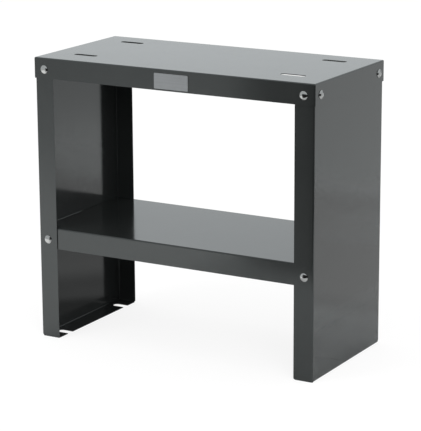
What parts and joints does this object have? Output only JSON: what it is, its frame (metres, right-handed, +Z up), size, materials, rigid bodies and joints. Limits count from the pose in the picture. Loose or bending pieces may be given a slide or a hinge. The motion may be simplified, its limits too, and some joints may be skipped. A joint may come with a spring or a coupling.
{
  "type": "slip roll stand",
  "caption": "Bolted sheet-steel stand for a bench-top slip roll: slotted top pan on two channel legs, tied by a lower shelf with folded flanges.",
  "frame": {"origin": "middle of the footprint, on the floor", "axes": "+X along the stand's width, to the right as seen from the front; -Y is the front, with the nameplate; +Z up"},
  "size_m": [0.7726, 0.3726, 0.704],
  "materials": {
    "charcoal_paint": "smooth glossy charcoal paint",
    "zinc_plate": "bright zinc plate",
    "nameplate": "satin, blank"
  },
  "bodies": {
    "root": {"top_pan": "charcoal_paint", "left_leg": "charcoal_paint", "right_leg": "charcoal_paint", "lower_shelf": "charcoal_paint", "blank_nameplate": "nameplate", "bolt_top_front_left": "zinc_plate", "bolt_top_front_right": "zinc_plate", "bolt_top_back_left": "zinc_plate", "bolt_top_back_right": "zinc_plate", "bolt_top_left_side_front": "zinc_plate", "bolt_top_left_side_back": "zinc_plate", "bolt_top_right_side_front": "zinc_plate", "bolt_top_right_side_back": "zinc_plate", "bolt_shelf_front_left": "zinc_plate", "bolt_shelf_front_right": "zinc_plate", "bolt_shelf_back_left": "zinc_plate", "bolt_shelf_back_right": "zinc_plate", "washer_top_front_left": "zinc_plate", "washer_top_front_right": "zinc_plate", "washer_top_back_left": "zinc_plate", "washer_top_back_right": "zinc_plate", "washer_top_left_side_front": "zinc_plate", "washer_top_left_side_back": "zinc_plate", "washer_top_right_side_front": "zinc_plate", "washer_top_right_side_back": "zinc_plate", "washer_shelf_front_left": "zinc_plate", "washer_shelf_front_right": "zinc_plate", "washer_shelf_back_left": "zinc_plate", "washer_shelf_back_right": "zinc_plate", "lock_washer_top_front_left": "zinc_plate", "lock_washer_top_front_right": "zinc_plate", "lock_washer_top_back_left": "zinc_plate", "lock_washer_top_back_right": "zinc_plate", "lock_washer_top_left_side_front": "zinc_plate", "lock_washer_top_left_side_back": "zinc_plate", "lock_washer_top_right_side_front": "zinc_plate", "lock_washer_top_right_side_back": "zinc_plate", "lock_washer_shelf_front_left": "zinc_plate", "lock_washer_shelf_front_right": "zinc_plate", "lock_washer_shelf_back_left": "zinc_plate", "lock_washer_shelf_back_right": "zinc_plate", "nut_top_front_left": "zinc_plate", "nut_top_front_right": "zinc_plate", "nut_top_back_left": "zinc_plate", "nut_top_back_right": "zinc_plate", "nut_top_left_side_front": "zinc_plate", "nut_top_left_side_back": "zinc_plate", "nut_top_right_side_front": "zinc_plate", "nut_top_right_side_back": "zinc_plate", "nut_shelf_front_left": "zinc_plate", "nut_shelf_front_right": "zinc_plate", "nut_shelf_back_left": "zinc_plate", "nut_shelf_back_right": "zinc_plate"}
  },
  "joints": []
}
